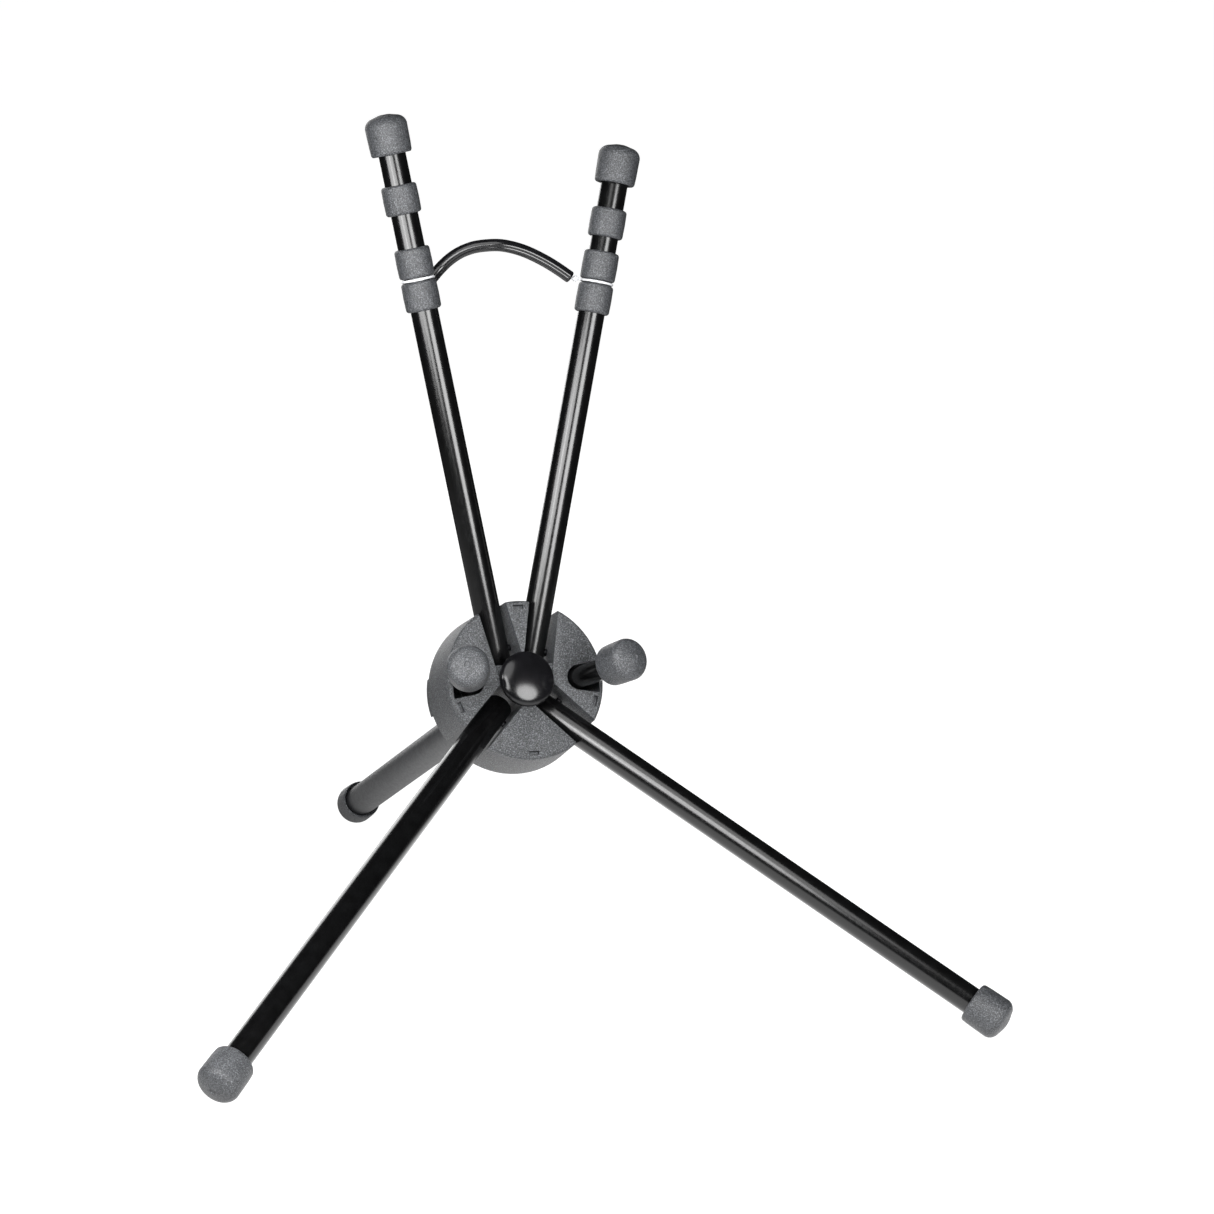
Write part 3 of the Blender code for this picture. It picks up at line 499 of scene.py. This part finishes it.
RIGHT_END = (Vector((0.031887, -0.025707, 0.302635)), Vector((0.032950, -0.025638, 0.302511)))
SWEEP_UP = Vector((0.0, -1.0, 0.3))  # a sweep's turns are counted from near this direction
SLIT_TURN, SLIT_WIDTH, SLIT_DEPTH = math.radians(62.0), 0.20, 0.00025  # turn and width in radians
SLEEVE_STEPS, SLEEVE_SIDES = 60, 90
MOUTH_EDGE, MOUTH_DEPTH = 0.005, 0.055  # as shares of the sleeve's length
MOUTH_BORE = 0.0018
KNOT_RADIUS, KNOT_STEPS, KNOT_WRAPS, KNOT_RIPPLE = 0.0014, 18, 3, 0.12
CORD_STEPS, CORD_SIDES = 6, 16
# the room from each arm's groove to the sleeve's ends and to the clear cord's, left and right
SLEEVE_ROOM = (0.0050, 0.0108)
CORD_ROOM = (0.0062, 0.0088)


def smooth_path(points, between):
    """Points on a smooth curve through a route's points."""
    padded = [points[0] * 2 - points[1], *points, points[-1] * 2 - points[-2]]
    made = []
    for before, first, second, after in zip(padded, padded[1:], padded[2:], padded[3:]):
        for step in range(between):
            t = step / between
            made.append(
                first
                + (second - before) * (t / 2)
                + (before * 2 - first * 5 + second * 4 - after) * (t * t / 2)
                + (first * 3 - before - second * 3 + after) * (t * t * t / 2)
            )
    made.append(points[-1])
    return made


def sweep(points, sections, sides, slit=0.0):
    """A tube round a path, from (share of the way, radius) sections, with a closed slit in it."""
    shape = bmesh.new()
    lengths = [0.0]
    for first, second in zip(points, points[1:]):
        lengths.append(lengths[-1] + (second - first).length)
    rings = []
    for share, radius in sections:
        wanted = min(max(share, 0.0), 1.0) * lengths[-1]
        index = max(i for i, length in enumerate(lengths[:-1]) if length <= wanted)
        part = (wanted - lengths[index]) / (lengths[index + 1] - lengths[index])
        middle = points[index].lerp(points[index + 1], part)
        before = points[max(index - 1, 0)]
        after = points[min(index + 2, len(points) - 1)]
        way = (after - before).normalized()
        side_way = way.cross(SWEEP_UP).normalized()
        up_way = side_way.cross(way)
        if radius < ON_AXIS:
            rings.append([shape.verts.new(middle)])
            continue
        around = []
        for i in range(sides):
            t = 2 * math.pi * i / sides
            reach = radius - slit * math.exp(-(((t - SLIT_TURN) / SLIT_WIDTH) ** 2))
            place = middle + side_way * (reach * math.cos(t)) + up_way * (reach * math.sin(t))
            around.append(shape.verts.new(place))
        rings.append(around)
    skin(shape, rings)
    return shape


def slack(piece, left_room, right_room):
    """Gives a cord piece its own copy of its mesh; left_room and right_room are not used."""
    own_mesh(piece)


def clear_cord(name, ends, node, sections):
    line = [ends[0].lerp(ends[1], i / CORD_STEPS) for i in range(CORD_STEPS + 1)]
    shape = sweep(line, sections, CORD_SIDES)
    return finish_mesh(name, shape, CORD, "left_arm", node, sharp=60.0)


sleeve_line = smooth_path(SLEEVE_PATH, 6)
plain_length = 1.0 - 2 * MOUTH_EDGE
sleeve_sections = [(0.0, 0.0), (0.0, SLEEVE_RADIUS * 0.90)]
sleeve_sections += [
    (MOUTH_EDGE + plain_length * i / SLEEVE_STEPS, SLEEVE_RADIUS) for i in range(SLEEVE_STEPS + 1)
]
sleeve_sections += [
    (1.0, SLEEVE_RADIUS * 0.96),
    (1.0, MOUTH_BORE * 1.06),
    (1.0 - MOUTH_EDGE, MOUTH_BORE),
    (1.0 - MOUTH_DEPTH, MOUTH_BORE),
    (1.0 - MOUTH_DEPTH, 0.0),
]
sleeve_piece = finish_mesh(
    "retaining_cord_sleeve",
    sweep(sleeve_line, sleeve_sections, SLEEVE_SIDES, SLIT_DEPTH),
    VINYL,
    "left_arm",
    "cord_sleeve",
    sharp=60.0,
)

plain = [(0.0, 0.0), (0.0, CORD_RADIUS * 0.9), (0.04, CORD_RADIUS), (0.96, CORD_RADIUS)]
plain += [(1.0, CORD_RADIUS * 0.9), (1.0, 0.0)]
knot_sections = [(0.0, 0.0)]
for i in range(1, KNOT_STEPS):
    t = i / KNOT_STEPS
    wrap = 1.0 + KNOT_RIPPLE * math.cos(t * math.pi * 2 * KNOT_WRAPS)
    knot_sections.append((t, KNOT_RADIUS * 0.88 * math.sin(math.pi * t) ** 0.45 * wrap))
knot_sections.append((1.0, 0.0))

left_bit = clear_cord("cord_at_left_arm", LEFT_END, "left_cord_end", plain)
throat_bit = clear_cord("cord_in_sleeve_mouth", THROAT, "cord_throat", plain)
right_bit = clear_cord("cord_at_right_arm", RIGHT_END, "right_cord_end", plain)
knot_bit = clear_cord("cord_stopper_knot", KNOT, "cord_knot", knot_sections)
cord_pieces = [left_bit, throat_bit, knot_bit, right_bit]
slack(sleeve_piece, *SLEEVE_ROOM)
for piece in cord_pieces:
    slack(piece, *CORD_ROOM)

# ---------------------------------------------------------------- arms, legs and pegs
tube_cup = cup_corners(CAP_RADIUS, CAP_LENGTH, TUBE_RADIUS + GAP, CAP_LIP)
peg_cup = cup_corners(CAP_RADIUS, CAP_LENGTH, PEG_RADIUS + GAP, CAP_LIP)
rear_cup = cup_corners(REAR_CAP_RADIUS, REAR_CAP_LENGTH, REAR_RADIUS + GAP, REAR_CAP_LIP)
ring_offset = (GROOVE_WIDTH + RING_LENGTH) / 2
loop_radius = TUBE_RADIUS + GAP + CORD_RADIUS

for side in SIDES:
    matrix, body = arm_axis[side], f"{side}_arm"
    tip, groove = ARM_TIP[side], CORD_GROOVE[side]
    slider = f"{side}_upper_ring"
    tube(side, "arm", arm_start, tip, TUBE_RADIUS, matrix, body)
    cup(f"{side}_arm_rubber_end", tube_cup, tip, matrix, body, f"{side}_arm_end_cap")
    ring(f"{side}_rubber_ring_1", UPPER_RING[side], matrix, slider, slider)
    ring(f"{side}_rubber_ring_2", groove + ring_offset, matrix, body, f"{side}_middle_ring")
    ring(f"{side}_rubber_ring_3", groove - ring_offset, matrix, body, f"{side}_lower_ring")
    # one turn of the clear cord in the groove
    round_cord = arc(loop_radius, groove, CORD_RADIUS, range(0, -360, -30))
    shape = lathe_shape([point[:2] for point in round_cord], matrix, True)
    node = f"{side}_cord_loop"
    finish_mesh(f"{side}_cord_turn", shape, CORD, body, node, sharp=80.0)

    matrix, body = leg_axis[side], f"{side}_leg"
    tube(side, "leg", leg_start, LEG_TIP, TUBE_RADIUS, matrix, body)
    cup(f"{side}_rubber_foot", tube_cup, LEG_TIP, matrix, body, f"{side}_foot_cap", True)

    matrix, body = peg_axis[side], f"{side}_peg"
    tube(side, "peg", -PEG_INNER_END, PEG_TIP, PEG_RADIUS, matrix, body)
    cup(f"{side}_peg_rubber_end", peg_cup, PEG_TIP, matrix, body, f"{side}_peg_cap")

# ---------------------------------------------------------------- rear leg
rear_inverse = rear_axis.inverted()
rear_foot = frame["nodes"]["rear_foot_cap"].data
rear_tip = max((rear_inverse @ vertex.co).z for vertex in rear_foot.vertices)
tube("rear", "leg", REAR_START, rear_tip, REAR_RADIUS, rear_axis, "hub", GREY)
cup("rear_rubber_foot", rear_cup, rear_tip, rear_axis, "hub", "rear_foot_cap", True)


# ---------------------------------------------------------------- hub
def softened(node, name, surface, width):
    """A copy of a moulded CAD piece, with its faces cleaned and its edges rounded."""
    shape = bmesh.new()
    shape.from_mesh(frame["nodes"][node].data)
    bmesh.ops.remove_doubles(shape, verts=shape.verts, dist=WELD_DISTANCE)
    bmesh.ops.dissolve_limit(
        shape, angle_limit=FLAT_TURN, verts=shape.verts, edges=shape.edges
    )
    corners = [
        edge
        for edge in shape.edges
        if len(edge.link_faces) == 2 and edge.calc_face_angle() > EDGE_TURN
    ]
    bmesh.ops.bevel(
        shape,
        geom=corners,
        offset=width,
        segments=2,
        profile=0.5,
        affect="EDGES",
        clamp_overlap=True,
    )
    return finish_mesh(name, shape, surface, "hub", node, sharp=40.0)


softened("hub_front_shell", "hub_moulded_front", HUB, SHELL_EDGE)
softened("hub_rear_cover", "hub_moulded_cover", COVER, COVER_EDGE)

dome_base = FACE_Z + GAP
dome_corners = [(0.0, dome_base + DOME_HEIGHT, 0.0)]
for angle in range(8, 89, 8):
    t = math.radians(angle)
    height = dome_base + DOME_RIM + (DOME_HEIGHT - DOME_RIM) * math.cos(t)
    dome_corners.append((DOME_RADIUS * math.sin(t), height, 0.0))
dome_corners += [
    (DOME_RADIUS, dome_base + DOME_SKIRT, 0.0),
    (DOME_RADIUS, dome_base, 0.0002),
    (SCREW_HEAD_BORE, dome_base, 0.0),
    (SCREW_HEAD_BORE, SCREW_HEAD_TOP + GAP, 0.0002),
    (0.0, SCREW_HEAD_TOP + GAP, 0.0),
]
lathe(
    "centre_gloss_dome",
    dome_corners,
    hub,
    DOME,
    "hub",
    "centre_cap",
    closed=False,
    segments=96,
)

# the pieces inside the hub keep their CAD shape
for name, node in frame["nodes"].items():
    if node.hide_render:
        continue
    # the pins take the near-black zinc, a painted shade for their ends in the hub's channels
    surface = NYLON if "plug" in name else PIN_PAINTED_SHADE if "pin" in name else ZINC
    node.data.materials.clear()
    node.data.materials.append(surface)
    node.data.shade_smooth()
    node.data.set_sharp_from_angle(angle=math.radians(35))

# ---------------------------------------------------------------- floor
FLOOR_HALF, FLOOR_DROP = 60.0, 0.0002
FLOOR_GREY = 0.25  # the floor's own colour, which only the camera sees
PATCH_MIDDLE, PATCH_REACH = (0.0, -0.15, 0.0), 1.2
MIRRORED_GLOW, SPILT_GLOW = 1.9, 0.20  # the floor's glow in reflections and as soft light

floor_mesh = bpy.data.meshes.new("floor")
floor_shape = bmesh.new()
bmesh.ops.create_grid(floor_shape, x_segments=1, y_segments=1, size=FLOOR_HALF)
floor_shape.to_mesh(floor_mesh)
floor_shape.free()
floor = bpy.data.objects.new("floor", floor_mesh)
floor_surface, floor_tree, floor_shader = material("pale_floor", 0.9)
floor_shader.inputs["Specular IOR Level"].default_value = 0.0
floor_shader.inputs["Emission Color"].default_value = (1.0, 1.0, 1.0, 1.0)
floor_rays = floor_tree.nodes.new("ShaderNodeLightPath").outputs


def combined(operation, first, second):
    """A sum or a product in the floor's nodes; the second may be a fixed number."""
    made = floor_tree.nodes.new("ShaderNodeMath")
    made.operation = operation
    floor_tree.links.new(first, made.inputs[0])
    if isinstance(second, float):
        made.inputs[1].default_value = second
    else:
        floor_tree.links.new(second, made.inputs[1])
    return made.outputs[0]


# the lit patch of floor round the stand fades into the dark room in its reflections
floor_place = floor_tree.nodes.new("ShaderNodeNewGeometry")
patch_distance = floor_tree.nodes.new("ShaderNodeVectorMath")
patch_distance.operation = "DISTANCE"
patch_distance.inputs[1].default_value = PATCH_MIDDLE
floor_tree.links.new(floor_place.outputs["Position"], patch_distance.inputs[0])
patch = ramp(
    floor_tree,
    spread(floor_tree, patch_distance.outputs["Value"], 0.0, 1.0, 0.0, PATCH_REACH),
    [(0.16, (1.0, 1.0, 1.0)), (0.30, (0.28, 0.28, 0.28)), (0.60, (0.02, 0.02, 0.02))],
)
lit_patch = combined("MULTIPLY", patch, MIRRORED_GLOW)
mirrored = combined("MULTIPLY", floor_rays["Is Glossy Ray"], lit_patch)
spilt = combined("MULTIPLY", floor_rays["Is Diffuse Ray"], SPILT_GLOW)
seen = combined("ADD", floor_rays["Is Camera Ray"], mirrored)
glow = combined("ADD", seen, spilt)
grey = combined("MULTIPLY", floor_rays["Is Camera Ray"], FLOOR_GREY)
floor_tree.links.new(glow, floor_shader.inputs["Emission Strength"])
floor_tree.links.new(grey, floor_shader.inputs["Base Color"])
floor_mesh.materials.append(floor_surface)
floor.location.z = -FLOOR_DROP
bpy.context.scene.collection.objects.link(floor)

# ---------------------------------------------------------------- room and lights
# a white backdrop to the eye, and a dark room round the lights in every reflection
ROOM_GLOW, BACKDROP_GLOW = 0.025, 1.05
LIT_PLACE = Vector((0.0, -0.03, 0.22))
SOFTBOXES = (  # name, azimuth, elevation, distance, width, brightness; angles in degrees
    ("left_softbox_outer", -58.0, 12.0, 0.55, 30.0, 11.5),
    ("left_softbox_inner", -34.0, 14.0, 0.55, 30.0, 11.5),
    ("high_softbox", -30.0, 47.0, 1.5, 38.0, 3.4),
    ("right_softbox", 12.0, 8.0, 1.5, 31.0, 15.0),
    ("back_softbox", -174.0, 10.0, 1.5, 36.0, 3.0),
)

world = bpy.data.worlds.new("studio")
bpy.context.scene.world = world
world.use_nodes = True
world_tree = world.node_tree
background = world_tree.nodes["Background"]
background.inputs["Color"].default_value = (1.0, 1.0, 1.0, 1.0)
rays = world_tree.nodes.new("ShaderNodeLightPath")
strength = world_tree.nodes.new("ShaderNodeMapRange")
strength.inputs["To Min"].default_value = ROOM_GLOW
strength.inputs["To Max"].default_value = BACKDROP_GLOW
world_tree.links.new(rays.outputs["Is Camera Ray"], strength.inputs["Value"])
world_tree.links.new(strength.outputs["Result"], background.inputs["Strength"])


def softbox(name, azimuth, elevation, distance, width, brightness):
    """A round softbox: its bearing from the front, height and width, as the arms see it."""
    data = bpy.data.lights.new(name, "AREA")
    data.shape = "DISK"
    data.size = 2 * distance * math.tan(math.radians(width / 2))
    data.energy = brightness * math.pi**2 * data.size**2 / 4
    light = bpy.data.objects.new(name, data)
    light.visible_camera = False
    turn, climb = math.radians(azimuth), math.radians(elevation)
    way = Vector(
        (math.sin(turn) * math.cos(climb), -math.cos(turn) * math.cos(climb), math.sin(climb))
    )
    light.location = LIT_PLACE + way * distance
    light.rotation_euler = way.to_track_quat("Z", "Y").to_euler()
    bpy.context.scene.collection.objects.link(light)


for row in SOFTBOXES:
    softbox(*row)

bpy.context.scene.view_settings.view_transform = "Standard"
